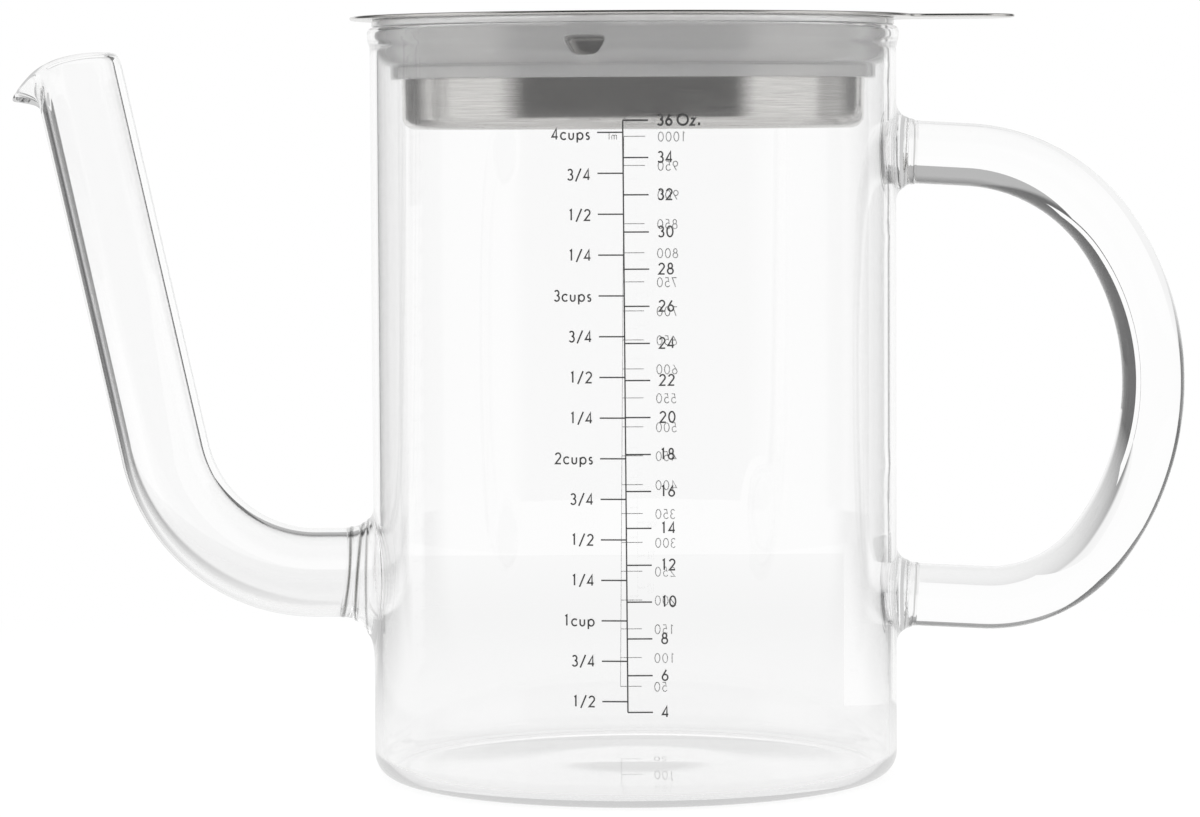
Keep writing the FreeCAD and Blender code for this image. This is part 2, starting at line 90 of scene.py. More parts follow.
# Handle
ROD_RADIUS = 6.28
HANDLE_DROP = 24.85                  # from the rim to the rod's axis, at the inside of the wall
HANDLE_SLOPE = 3.24
HANDLE_RUN = 14.48
HANDLE_BENDS = ((36.42, 53.71), (53.54, 70.63), (27.02, 55.33))    # radius and degrees

# Feet of the welds: half width, reach above the tube's axis and reach below it
SPOUT_FOOT = (14.0, 13.2, 17.6)
MOUTH_FOOT = (12.8, 12.9, 15.2)      # round the opening inside the jug
ROD_FOOT = (9.6, 10.4, 10.6)
SPOUT_FLARE = 6.8                    # how far out of the wall the weld's flare ends
MOUTH_FLARE = 6.6
ROD_FLARE = 4.6

# Detail of the glass mesh
COLUMNS = 192                        # quads round the jug
WINDOW = 26                          # quads along each side of the patch round a weld
AROUND = 4 * WINDOW                  # points round a weld
TUBE_AROUND = 2 * AROUND             # points round a tube
FLARE_LOOPS = 34
RINGED_LOOPS = 110                   # in the flare of the spout's weld, for its rings


# ---------------------------------------------------------------- curves and surfaces

def blend(a, b, share):
    return a + (b - a) * share


def smooth(low, high, x):
    """0 below low, 1 above high, and a smooth step between."""
    t = min(max((x - low) / (high - low), 0.0), 1.0)
    return t * t * (3 - 2 * t)


def bump(x, centre, width):
    return math.exp(-(((x - centre) / width) ** 2))


def bead(x, centre, half_width):
    """A bump with steep sides."""
    return math.exp(-(((x - centre) / half_width) ** 4))


def steps(count):
    return [k / count for k in range(count + 1)]


def spaced(first, last, count):
    """Evenly spaced values from first to last."""
    return [blend(first, last, share) for share in steps(count)]


def bezier(p0, p1, p2, p3, t):
    s = 1 - t
    return p0 * (s * s * s) + p1 * (3 * s * s * t) + p2 * (3 * s * t * t) + p3 * (t * t * t)


def arc(centre, radius, first, last, count):
    """Points (across, up) on an arc, angles in degrees."""
    angles = [math.radians(angle) for angle in spaced(first, last, count)]
    return [(centre[0] + radius * math.cos(a), centre[1] + radius * math.sin(a)) for a in angles]


def add_object(name, data):
    thing = bpy.data.objects.new(name, data)
    bpy.context.scene.collection.objects.link(thing)
    return thing


class Surface:
    """Points and faces of one piece, gathered loop by loop. creases holds, at the points in the
    glass's creases, how much painted shade darkens the glass's colour there."""

    def __init__(self):
        self.points = []
        self.faces = []
        self.creases = {}

    def loop(self, points):
        first = len(self.points)
        self.points.extend(Vector(p) for p in points)
        return list(range(first, len(self.points)))

    def bands(self, loops):
        """Quads from loop to loop, each of as many points."""
        for one, other in zip(loops, loops[1:]):
            for k in range(len(one)):
                n = (k + 1) % len(one)
                self.faces.append((one[k], one[n], other[n], other[k]))

    def doubled(self, few, many):
        """A band of five-sided faces between a loop and one of twice as many points."""
        count = len(few)
        for k in range(count):
            n = (k + 1) % count
            self.faces.append((few[k], few[n], many[2 * n], many[2 * k + 1], many[2 * k]))

    def cap(self, loop, centre):
        middle = self.loop([centre])[0]
        count = len(loop)
        for k in range(count):
            self.faces.append((loop[k], loop[(k + 1) % count], middle))

    def piece(self, name, material, body, slot, replaced=()):
        """Write the mesh, in metres, as a piece that rides on a body."""
        mesh = bpy.data.meshes.new(name)
        mesh.from_pydata([tuple(p * MM) for p in self.points], [], self.faces)
        # the point attribute crease carries the painted shade of the glass's creases
        if self.creases:
            depth = mesh.attributes.new("crease", "FLOAT", "POINT")
            for index, value in self.creases.items():
                depth.data[index].value = value
        shape = bmesh.new()
        shape.from_mesh(mesh)
        loose = [v for v in shape.verts if not v.link_faces]
        bmesh.ops.delete(shape, geom=loose, context="VERTS")
        bmesh.ops.recalc_face_normals(shape, faces=shape.faces)
        shape.to_mesh(mesh)
        shape.free()
        mesh.shade_smooth()
        mesh.materials.append(material)
        piece = add_object(name, mesh)
        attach(piece, body)
        if replaced:
            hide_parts(*replaced)


# ---------------------------------------------------------------- materials

def grey(tone):
    return (tone, tone, tone, 1)


def feed(node, inputs):
    """Give a node's sockets, by name or number, a value or another node's output."""
    for key, value in inputs.items():
        if isinstance(value, bpy.types.NodeSocket):
            node.id_data.links.new(value, node.inputs[key])
        else:
            node.inputs[key].default_value = value


def add(tree, kind, inputs=(), **settings):
    """The outputs of a new shader node."""
    node = tree.nodes.new("ShaderNode" + kind)
    for name, value in settings.items():
        setattr(node, name, value)
    feed(node, dict(inputs))
    return node.outputs


def reckon(tree, operation, *values):
    return add(tree, "Math", enumerate(values), operation=operation)["Value"]


def mapped(tree, value, before=(0.0, 1.0), after=(0.0, 1.0), **settings):
    """A value carried from one range to another."""
    return add(tree, "MapRange", enumerate((value, *before, *after)), **settings)["Result"]


def either(tree, factor, no, yes, **settings):
    """A mix of two colours: no where the factor is 0, and yes where it is 1."""
    return add(tree, "Mix", {"Factor": factor, 6: no, 7: yes}, data_type="RGBA", **settings)[2]


def ramp(tree, factor, stops):
    """A colour that goes from stop to stop as the factor goes from 0 to 1."""
    node = tree.nodes.new("ShaderNodeValToRGB")
    elements = node.color_ramp.elements
    while len(elements) < len(stops):
        elements.new(0.5)
    for element, (position, colour) in zip(elements, stops):
        element.position, element.color = position, colour
    feed(node, {"Fac": factor})
    return node.outputs["Color"]


def noise(tree, scale, detail):
    place = add(tree, "TexCoord")["Object"]
    return add(tree, "TexNoise", {"Vector": place, "Scale": scale, "Detail": detail})["Fac"]


def bumped(tree, height, strength, distance):
    inputs = {"Height": height, "Strength": strength, "Distance": distance}
    return add(tree, "Bump", inputs)["Normal"]


def new_material(name, inputs):
    """A material, its node tree and its shader."""
    material = bpy.data.materials.new(name)
    material.use_nodes = True
    shader = material.node_tree.nodes["Principled BSDF"]
    feed(shader, inputs)
    return material, material.node_tree, shader


def glass_material():
    material, tree, shader = new_material("clear_borosilicate", {
        "Roughness": 0.0, "IOR": 1.47, "Transmission Weight": 1.0, "Emission Color": (1, 1, 1, 1)})
    waves = bumped(tree, noise(tree, scale=38.0, detail=1.0), strength=0.03, distance=0.00006)
    # painted shade: the glass's colour goes almost black in the creases between the rings of a weld,
    # by the point attribute crease
    crease = add(tree, "Attribute", attribute_name="crease")["Fac"]
    painted_crease_shade = either(tree, crease, (1, 1, 1, 1), (0.03, 0.03, 0.025, 1))
    # painted glow: where a ray has been turned round inside the glass more than three times, the
    # glass glows white with strength 0.30, standing in for the room's light that such a ray would
    # bring out
    painted_glow_mask = reckon(tree, "GREATER_THAN", add(tree, "LightPath")["Glossy Depth"], 3.5)
    glow = reckon(tree, "MULTIPLY", painted_glow_mask, 0.30)
    feed(shader, {"Normal": waves, "Base Color": painted_crease_shade, "Emission Strength": glow})
    return material


def steel_material():
    """Steel with fine lines that run round the axis."""
    material, tree, shader = new_material("brushed_steel", {
        "Metallic": 1.0, "Anisotropic": 0.8, "Anisotropic Rotation": 0.25})
    x, y, z = add(tree, "SeparateXYZ", {"Vector": add(tree, "TexCoord")["Object"]})
    short_angle = reckon(tree, "MULTIPLY", reckon(tree, "ARCTAN2", y, x), 0.0005)
    flat = add(tree, "CombineXYZ", {"X": x, "Y": y})["Vector"]
    radius = add(tree, "VectorMath", {0: flat}, operation="LENGTH")["Value"]
    wrapped = add(tree, "CombineXYZ", {"X": short_angle, "Y": radius, "Z": z})["Vector"]
    grain = add(tree, "TexNoise", {
        "Vector": wrapped, "Scale": 8000.0, "Detail": 3.0, "Roughness": 0.7})["Fac"]
    feed(shader, {
        "Normal": bumped(tree, grain, strength=0.12, distance=0.00002),
        "Roughness": mapped(tree, grain, after=(0.19, 0.25)),
        "Base Color": ramp(tree, grain, [(0.30, (0.50, 0.49, 0.475, 1)),
                                         (0.70, (0.70, 0.69, 0.675, 1))]),
        "Tangent": add(tree, "Tangent", direction_type="RADIAL", axis="Z")["Tangent"]})
    return material


def silicone_material():
    material, tree, shader = new_material("milky_silicone", {
        "Roughness": 0.13, "IOR": 1.41, "Transmission Weight": 0.66})
    haze = noise(tree, scale=60.0, detail=2.0)
    feed(shader, {"Base Color": ramp(tree, haze, [(0.0, grey(0.95)), (1.0, (1.0, 0.995, 0.99, 1))])})
    return material


def enamel_material(name, tone):
    material, tree, shader = new_material(name, {"Roughness": 0.45})
    wear = noise(tree, scale=900.0, detail=2.0)
    feed(shader, {"Base Color": ramp(tree, wear, [(0.35, grey(tone)), (0.75, grey(tone * 2.2))])})
    return material


glass = glass_material()
steel = steel_material()
silicone = silicone_material()
front_enamel = enamel_material("dark_enamel", 0.02)
back_enamel = enamel_material("grey_enamel", 0.30)


# ---------------------------------------------------------------- glass: tubes

class Station:
    """A place on a tube's centre line, in the plane y = 0, and the direction it goes on in."""

    def __init__(self, x, z, heading):
        self.centre = Vector((x, 0, z))
        angle = math.radians(heading)
        self.heading = heading
        self.ahead = Vector((math.cos(angle), 0, math.sin(angle)))
        self.right = Vector((math.sin(angle), 0, -math.cos(angle)))

    def spoke(self, angle):
        """Unit vector from the centre line, 0 to the right of the heading and 90 towards +Y."""
        return self.right * math.cos(angle) + Vector((0, math.sin(angle), 0))

    def moved(self, distance):
        further = copy.copy(self)
        further.centre = self.centre + self.ahead * distance
        return further

    def turned_back(self):
        """The same place and the same spokes, but facing the way the tube came from."""
        back = copy.copy(self)
        back.ahead = -self.ahead
        return back


def run(station, length, spacing=3.0):
    """Stations along a straight run, without its first, and with its last."""
    count = max(1, round(length / spacing))
    return [station.moved(length * share) for share in steps(count)[1:]]


def right_turn(station, radius, degrees, spacing=1.2):
    count = max(1, round(math.radians(degrees) * radius / spacing))
    middle = station.centre + station.right * radius
    turned = []
    for share in steps(count)[1:]:
        heading = station.heading - degrees * share
        point = middle - Station(0, 0, heading).right * radius
        turned.append(Station(point.x, point.z, heading))
    return turned


def even_angles(count=TUBE_AROUND):
    return [TURN * k / count for k in range(count)]


def tube_loops(surface, stations, radius):
    angles = even_angles()
    return [surface.loop([s.centre + s.spoke(a) * radius for a in angles]) for s in stations]


# ---------------------------------------------------------------- glass: the wall

def wall_point(radius, theta, z):
    return Vector((radius * math.cos(theta), radius * math.sin(theta), z))


class Window:
    """The square patch of a wall that a tube or a hole grows out of. side is -1 where +Y lies at
    lower columns, and up is 1 where the tube's angle 0 is at the patch's top."""

    def __init__(self, column, bottom, side, up, height, size=WINDOW, columns=COLUMNS):
        self.column, self.bottom, self.side, self.up = column, bottom, side, up
        self.size, self.columns = size, columns
        self.theta, self.height = TURN * column / columns, height

    def covers(self, column, row):
        across = (column - self.column + self.size // 2) % self.columns
        return across < self.size and self.bottom <= row < self.bottom + self.size

    def edge(self, grid):
        """The wall's points round the patch, in the order of the tube's angles."""
        half = self.size // 2
        top = self.bottom + self.size
        start, end = (top, self.bottom) if self.up > 0 else (self.bottom, top)
        step = 1 if end > start else -1
        cells = [(k, start) for k in range(half)]
        cells += [(half, row) for row in range(start, end, step)]
        cells += [(k, end) for k in range(half, -half, -1)]
        cells += [(-half, row) for row in range(end, start, -step)]
        cells += [(k, start) for k in range(-half, 0)]
        return [grid[row][(self.column + self.side * k) % self.columns] for k, row in cells]

    def flat(self, point, radius):
        """A wall point unrolled round the tube's axis: towards +Y, and towards the tube's angle 0."""
        theta = math.atan2(point.y, point.x)
        across = math.remainder(theta - self.theta, TURN) * radius * self.side
        return Vector((across, (point.z - self.height) * self.up))

    def rolled(self, flat, radius):
        return wall_point(radius, self.theta + self.side * flat.x / radius,
                          self.height + self.up * flat.y)


def weld_loops(surface, window, wall, radius, station, tube_radius, foot, reach,
               rings=None, count=FLARE_LOOPS):
    """Loops from a window's edge in the wall to the foot of the weld, and up its flare to the
    tube. foot is the weld's half width and its reach above and below the axis. station is on the
    wall, and reach is how far along it the flare ends. rings gives the flare's relief and the
    painted shade of its creases, kept in surface.creases. Returns the loops and the last station."""
    angles = even_angles(AROUND)
    half_width, above, below = foot
    edge = window.edge(wall)
    loops = [edge]
    flats = [window.flat(surface.points[k], radius) for k in edge]
    feet = []
    for angle in angles:
        up = math.cos(angle) * window.up
        feet.append(Vector((half_width * math.sin(angle),
                            (above if up > 0 else below) * math.cos(angle))))
    for share in (0.14, 0.28, 0.42, 0.55, 0.67, 0.78, 0.87, 0.94, 1.0):
        loops.append(surface.loop([
            window.rolled(blend(flat, end, share), radius) for flat, end in zip(flats, feet)]))
    last = station.moved(reach)
    ease = 0.62                      # how far along its ends the flare's curve is pulled
    flare = []
    for flat, angle in zip(feet, angles):
        start = window.rolled(flat, radius)
        nearer = window.rolled(flat * 0.98, radius)
        inward = (nearer - start).normalized()
        end = last.centre + last.spoke(angle) * tube_radius
        width = flat.length - tube_radius
        drop = abs((end - start).dot(last.ahead))
        flare.append((start, start + inward * width * ease, end - last.ahead * drop * ease, end))
    for share in steps(count)[1:]:
        points, crease_shades = [], []
        for curve, angle in zip(flare, angles):
            point = bezier(*curve, share)
            if rings:
                behind = bezier(*curve, share - 0.01)
                along = (point - behind).normalized()
                spoke = station.spoke(angle)
                normal = spoke * along.dot(station.ahead) - station.ahead * along.dot(spoke)
                out = (point - station.centre).dot(station.ahead)
                # relief moves the point, and depth is how much painted shade darkens the glass's
                # colour there
                relief, depth = rings(out, angle)
                point = point + normal * relief
                crease_shades.append(depth)
            points.append(point)
        loops.append(surface.loop(points))
        surface.creases.update(zip(loops[-1], crease_shades))
    surface.bands(loops)
    return loops, last


def spout_rings(out, angle):
    """Rings left on the weld where the spout was fused on, a little crooked: their relief, and how
    much painted shade darkens the glass in the creases between them, most on the side towards -Y.
    """
    low = -math.cos(angle)
    first = 4.5 + 0.9 * low + 0.9 * low ** 2
    second = 2.9 + 0.8 * low
    third = 1.1 + 0.1 * math.sin(2 * angle)
    relief = 0.15 * (bump(out, first, 0.4) + bump(out, second, 0.4) + bump(out, third, 0.3))
    # painted shade in the creases, strongest on the side towards -Y
    front = 0.6 - 0.4 * math.sin(angle)
    depth = max(bead(out, first, 0.30 + 0.14 * low ** 2), bead(out, second, 0.34 - 0.06 * low),
                0.8 * bead(out, third, 0.25))
    return relief, front * depth


def rod_rings(out, angle):
    """Two fainter rings at each end of the handle: their relief, and how much painted shade darkens
    the glass in their creases, most on the side towards -Y.
    """
    first = 3.3 + 0.45 * math.cos(angle) + 0.2 * math.sin(2 * angle)
    second = 1.9 + 0.35 * math.sin(angle)
    relief = 0.16 * bump(out, first, 0.45) + 0.12 * bump(out, second, 0.5)
    # painted shade in the creases, strongest on the side towards -Y
    front = 0.5 - 0.3 * math.sin(angle)
    return relief, front * max(bead(out, first, 0.16), bead(out, second, 0.14))


# ---------------------------------------------------------------- glass: the beak

def beak_radius(angle, tube_radius, reach, tip):
    """Distance from the tube's axis to an outline that is round and drawn out to a tip at 180."""
    off = abs(math.remainder(angle - math.pi, TURN))
    middle = reach - tip
    touch = math.acos((tube_radius - tip) / middle)
    tip_end = math.atan2(tip * math.sin(touch), middle + tip * math.cos(touch))
    if off >= touch:
        return tube_radius
    if off >= tip_end:
        return tube_radius / math.cos(off - touch)
    return middle * math.cos(off) + math.sqrt(tip ** 2 - (middle * math.sin(off)) ** 2)


def rim_height(back):
    """Height up the leg of the spout's rim, by how far the point lies behind the axis."""
    if back > 0:
        return SPOUT_LEG + 0.15 - 0.012 * back ** 2
    return SPOUT_LEG + 0.15 - 0.00441 * (-back) ** 2.7


def beak_angles(share):
    """The tube's angles, drawn together towards the tip by a share from 0 to 1."""
    return [a + 0.5 * share * math.sin(a) for a in even_angles()]


def beak_wall(inner):
    """Each angle's turn from the tube to the rim, as four control points in the plane of that
    angle, for the outside or the inside of the glass."""
    radius = SPOUT_BORE if inner else SPOUT_RADIUS
    curves = []
    for angle in beak_angles(1.0):
        full = beak_radius(angle, SPOUT_RADIUS, BEAK_REACH, BEAK_TIP)
        pulled = (full - SPOUT_RADIUS) / (BEAK_REACH - SPOUT_RADIUS)
        top = rim_height(full * math.cos(angle))
        inward = 0.35 * (0.5 + 0.5 * math.cos(angle)) + 0.1
        lip = smooth(0.0, 1.0, pulled)
        if inner:
            end = Vector((full - WALL - inward + 0.35 * lip, top - 1.0 + 0.5 * lip))
            corner = top - 2.6 - 1.6 * lip
        else:
            end = Vector((full - inward + 0.1 * lip, top - 1.0 - 0.7 * lip))
            corner = top - 3.3
        start = Vector((radius, corner - 1.3))
        knee = Vector((radius, corner + 0.1 * (1 - lip)))
        gentle = Vector((radius + 1.6, corner + (2.4 if inner else 0.5)))
        slope = blend(Vector((radius, corner + 0.8)), gentle, lip)
        curves.append((angle, start, knee, slope, end))
    return curves


def leg_point(leg, angle, flat):
    """From (out of the axis, up the leg) to space."""
    return leg.centre + leg.ahead * flat.y + leg.spoke(angle) * flat.x


def beak_loops(surface, leg, inner):
    loops = []
    curves = beak_wall(inner)
    foot = Vector((curves[0][1].x, BEAK_FOOT))
    for share in steps(6)[1:]:
        loops.append(surface.loop([
            leg_point(leg, angle, blend(foot, start, share)) for angle, start, *_ in curves]))
    for share in steps(24)[1:]:
        loops.append(surface.loop([
            leg_point(leg, angle, bezier(*turn, share)) for angle, *turn in curves]))
    return loops


def rim_loops(surface, leg):
    """The fire-polished edge between the beak's outside and its inside."""
    loops = []
    pairs = list(zip(beak_wall(False), beak_wall(True)))
    for share in steps(10)[1:-1]:
        points = []
        for outside, inside in pairs:
            angle, out_end, in_end = outside[0], outside[4], inside[4]
            thick = (out_end - in_end).length * 0.72
            out_way = (out_end - outside[3]).normalized()
            in_way = (in_end - inside[3]).normalized()
            flat = bezier(out_end, out_end + out_way * thick, in_end + in_way * thick, in_end, share)
            points.append(leg_point(leg, angle, flat))
        loops.append(surface.loop(points))
    return loops


# ---------------------------------------------------------------- glass: the whole jug

def weld_rows(foot):
    """Heights of the wall's rows from its foot up, and the first row of the low and of the high
    windows."""
    low_half = TURN * OUTER / COLUMNS * WINDOW / 2
    low = spaced(SPOUT_HEIGHT - low_half, SPOUT_HEIGHT + low_half, WINDOW)
    middle = JUG_HEIGHT - HANDLE_DROP
    high_half = 16.9                 # half the height of the window of the handle's upper end
    high = spaced(middle - high_half, middle + high_half, WINDOW)
    between = spaced(low[-1], high[0], 12)[1:-1]
    below = spaced(foot, low[0], 4)[:-1]
    rows = below + low + between + high + spaced(high[-1], JUG_HEIGHT - RIM_FOOT, 3)[1:]
    return rows, len(below), len(below) + len(low) + len(between)


def lathe(surface, outline, columns=COLUMNS):
    thetas = [TURN * k / columns for k in range(columns)]
    return [surface.loop([wall_point(r, t, z) for t in thetas]) for r, z in outline]


def fill_grid(surface, grid, windows):
    """Quads between the grid's rows, except where a window is."""
    for row, (low, high) in enumerate(zip(grid, grid[1:])):
        count = len(low)
        for k in range(count):
            if not any(window.covers(k, row) for window in windows):
                n = (k + 1) % count
                surface.faces.append((low[k], low[n], high[n], high[k]))


def wall_grid(surface, radius, rows, windows):
    grid = lathe(surface, [(radius, z) for z in rows])
    fill_grid(surface, grid, windows)
    return grid


def make_glass():
    surface = Surface()
    rows, low_row, high_row = weld_rows(BASE_CORNER)

    spout_window = Window(COLUMNS // 2, low_row, -1, 1, SPOUT_HEIGHT)
    slope = math.tan(math.radians(HANDLE_SLOPE))
    upper_z = JUG_HEIGHT - HANDLE_DROP - WALL * slope
    upper_window = Window(0, high_row, 1, -1, upper_z)

    inside_start = Station(INNER, JUG_HEIGHT - HANDLE_DROP, -HANDLE_SLOPE)
    handle_start = inside_start.moved(WALL / math.cos(math.radians(HANDLE_SLOPE)))
    path = [inside_start.moved(HANDLE_RUN + WALL)]
    for radius, degrees in HANDLE_BENDS:
        path += right_turn(path[-1], radius, degrees)
    arrival = path[-1]
    last_run = (arrival.centre.x - OUTER) / -arrival.ahead.x
    handle_end = arrival.moved(last_run).turned_back()
    lower_window = Window(0, low_row, 1, 1, handle_end.centre.z)

    # outside of the jug, from the middle of the underside up
    foot_radius = OUTER - BASE_CORNER
    under = [(foot_radius * s, PUNT * (1 - smooth(0.25, 1.0, s))) for s in steps(16)[1:]]
    corner = arc((foot_radius, BASE_CORNER), BASE_CORNER, -90, 0, 18)[1:-1]
    bottom_loops = lathe(surface, under + corner)
    outside = wall_grid(surface, OUTER, rows, (spout_window, upper_window, lower_window))
    swell = [(OUTER + out, JUG_HEIGHT - down) for out, down in
             ((0.04, 4.1), (0.16, 3.6), (0.33, 3.1), (0.46, 2.6), (RIM_SWELL, 2.0))]
    crown_radius = (WALL + RIM_SWELL) / 2
    crown_centre = (OUTER + RIM_SWELL - crown_radius, JUG_HEIGHT - crown_radius)
    rim = lathe(surface, swell + arc(crown_centre, crown_radius, 0, 180, 16))

    # inside of the jug, from the rim down to the middle of the floor
    inner_foot = FLOOR_THICKNESS + FLOOR_CORNER
    inside = wall_grid(surface, INNER, weld_rows(inner_foot)[0], (spout_window,))
    floor_radius = INNER - FLOOR_CORNER
    turn_up = arc((floor_radius, inner_foot), FLOOR_CORNER, 0, -90, 24)[1:]
    floor = [(floor_radius * (1 - s), FLOOR_THICKNESS + FLOOR_DOME * smooth(0, 1, s))
             for s in steps(16)[1:-1]]
    floor_loops = lathe(surface, turn_up + floor)

    surface.cap(bottom_loops[0], (0, 0, PUNT))
    surface.bands(bottom_loops + [outside[0]])
    surface.bands([outside[-1]] + rim + [inside[-1]])
    surface.bands([inside[0]] + floor_loops)
    surface.cap(floor_loops[-1], (0, 0, FLOOR_THICKNESS + FLOOR_DOME))

    # handle: a solid rod between its two welds
    upper, start = weld_loops(surface, upper_window, outside, OUTER, handle_start,
                              ROD_RADIUS, ROD_FOOT, ROD_FLARE, rod_rings)
    lower, end = weld_loops(surface, lower_window, outside, OUTER, handle_end,
                            ROD_RADIUS, ROD_FOOT, ROD_FLARE, rod_rings)
    stretch = run(start, (path[0].centre - start.centre).length) + path[1:]
    joint = 1.0                      # left for the band between the rod and its lower weld
    stretch += run(arrival, (arrival.centre - end.centre).length - joint)
    rod = tube_loops(surface, stretch, ROD_RADIUS)
    surface.doubled(upper[-1], rod[0])
    surface.bands(rod)
    surface.doubled(lower[-1], rod[-1])

    # spout: a tube open to the jug, with a beak
    spout_start = Station(-OUTER, SPOUT_HEIGHT, 180)
    outer_weld, outer_first = weld_loops(
        surface, spout_window, outside, OUTER, spout_start,
        SPOUT_RADIUS, SPOUT_FOOT, SPOUT_FLARE, spout_rings, RINGED_LOOPS)
    inner_weld, inner_first = weld_loops(
        surface, spout_window, inside, INNER, Station(-INNER, SPOUT_HEIGHT, 180),
        SPOUT_BORE, MOUTH_FOOT, MOUTH_FLARE)
    bend_start = spout_start.moved(SPOUT_RUN)
    ends = []
    for weld, first, radius, inner in ((outer_weld, outer_first, SPOUT_RADIUS, False),
                                       (inner_weld, inner_first, SPOUT_BORE, True)):
        stretch = run(first, (bend_start.centre - first.centre).length)
        stretch += right_turn(stretch[-1], SPOUT_BEND, 90 - SPOUT_LEAN)
        leg = stretch[-1]
        tube = tube_loops(surface, stretch, radius)
        for share in steps(22)[1:]:
            station = leg.moved(BEAK_FOOT * share)
            angles = beak_angles(smooth(0.3, 1.0, share))
            tube.append(surface.loop([station.centre + station.spoke(a) * radius for a in angles]))
        beak = beak_loops(surface, leg, inner)
        surface.doubled(weld[-1], tube[0])
        surface.bands(tube + beak)
        ends.append(beak[-1])
    surface.bands(ends[:1] + rim_loops(surface, leg) + ends[1:])

    surface.piece("jug_glass", glass, "jug", "glass", replaced=(
        "jug_body", "spout_tube", "spout_weld", "handle_rod", "handle_upper_weld",
        "handle_lower_weld"))


make_glass()


# ---------------------------------------------------------------- strainer

SHEET = 0.6                          # thickness of the pressed steel
CUP_RADIUS = 46.35                   # outside
CUP_TAPER = 0.3                      # the wall leans in by this much towards the floor
CUP_CORNER = 2.6
CUP_FLAT = CUP_RADIUS - CUP_CORNER
LIP_RADIUS = CUP_FLAT - 4.0          # inner edge of the floor that carries the screen
FLANGE_BEND = 1.2
FLANGE_RADIUS = OUTER + 3.95
TAB_END = cup_high.x
TAB_WIDTH = 24.0
TAB_CORNER = 9.0
TAB_ROOT = 4.0                       # fillet where the tab leaves the flange


def flange_outline():
    """The flange's edge seen from above: a circle with the tab, all the way round."""
    half = TAB_WIDTH / 2
    corner_x, corner_y = TAB_END - TAB_CORNER, half - TAB_CORNER
    root_x = math.sqrt((FLANGE_RADIUS + TAB_ROOT) ** 2 - (half + TAB_ROOT) ** 2)
    root_angle = math.degrees(math.atan2(half + TAB_ROOT, root_x))
    side = [(TAB_END, 0), (TAB_END, corner_y / 2)]
    side += arc((corner_x, corner_y), TAB_CORNER, 0, 90, 14)
    side += [(x, half) for x in spaced(corner_x, root_x, 4)[1:-1]]
    side += arc((root_x, half + TAB_ROOT), TAB_ROOT, -90, root_angle - 180, 8)
    circle = arc((0, 0), FLANGE_RADIUS, root_angle, 360 - root_angle, 180)[1:-1]
    other_side = [(x, -y) for x, y in reversed(side[1:])]
    return [Vector(point) for point in side + circle + other_side]


def inset(outline, distance):
    """The outline moved inwards."""
    moved = []
    for k, point in enumerate(outline):
        along = (outline[(k + 1) % len(outline)] - outline[k - 1]).normalized()
        moved.append(point + Vector((-along.y, along.x)) * distance)
    return moved


def make_strainer():
    surface = Surface()
    outline = flange_outline()
    ways = [point.normalized() for point in outline]

    def turned(profile):
        return [surface.loop([(w.x * r, w.y * r, z) for w in ways]) for r, z in profile]

    def edged(distance, z):
        return surface.loop([(p.x, p.y, z) for p in inset(outline, distance)])

    floor, top = cup_low.z, cup_high.z
    under = top - SHEET
    half = SHEET / 2
    low_radius = CUP_RADIUS - CUP_TAPER
    low_flat = low_radius - CUP_CORNER
    bend_x, bend_z = CUP_RADIUS + FLANGE_BEND, under - FLANGE_BEND
    corner_z = floor + CUP_CORNER
    wall = [(low_radius + CUP_TAPER * s, corner_z + (bend_z - corner_z) * s) for s in steps(10)[1:-1]]
    # the loops beside the edges keep the flats evenly shaded
    outside = [(LIP_RADIUS + 0.5, floor), (LIP_RADIUS + 2.5, floor)]
    outside += arc((low_flat, corner_z), CUP_CORNER, -90, 0, 12) + wall
    outside += arc((bend_x, bend_z), FLANGE_BEND, 180, 90, 8)
    inside = arc((bend_x, bend_z), FLANGE_BEND + SHEET, 90, 180, 10)
    inside += [(r - SHEET, z) for r, z in reversed(wall)]
    inside += arc((low_flat, corner_z), CUP_CORNER - SHEET, 0, -90, 10)
    inside += [(LIP_RADIUS + 2.5, floor + SHEET), (LIP_RADIUS + 0.5, floor + SHEET)]
    lip = arc((LIP_RADIUS + half, floor + half), half, 90, 270, 8)
    loops = turned(outside) + [edged(2.5, under), edged(half + 0.2, under)]
    loops += [edged(x, under + z) for x, z in arc((half, half), half, -90, -270, 8)]
    loops += [edged(half + 0.2, top), edged(2.5, top)] + turned(inside) + turned(lip)
    surface.bands(loops + loops[:1])
    surface.piece("strainer_pressing", steel, "strainer", "steel", replaced=("strainer_cup",))


make_strainer()


# ---------------------------------------------------------------- sealing ring

CLEARANCE = 0.08                     # to the cup inside and to the glass outside
RING_BORE = CUP_RADIUS + CLEARANCE
BULGE_RADIUS = INNER - CLEARANCE
SKIRT_RADIUS = BULGE_RADIUS - 2.45
SKIRT_TOP = seal_low.z + 2.6
SHOULDER = SKIRT_TOP + 3.2           # the bulge has its full width above this
COLLAR_THICKNESS = 1.45
VENT_ANGLE = 10.9                    # from the front towards the spout
VENT_HALF_WIDTH = 3.4
VENT_HALF_HEIGHT = 1.9
VENT_HEIGHT = 145.3
VENT_WINDOW = 16                     # quads along each side of the patch round the vent
RING_COLUMNS = 400
SOFT_EDGE = 0.35                     # rounding of the vent's outer edge
SKIRT_EDGE = 0.3
COLLAR_EDGE = 0.4
COLLAR_FILLET = 0.5


def ring_radius(z):
    """The ring's outside below its collar: skirt, rounded shoulder and bulge."""
    if z < SKIRT_TOP:
        return SKIRT_RADIUS
    share = min((z - SKIRT_TOP) / (SHOULDER - SKIRT_TOP), 1.0)
    return SKIRT_RADIUS + (BULGE_RADIUS - SKIRT_RADIUS) * math.sqrt(1 - (1 - share) ** 2.2)


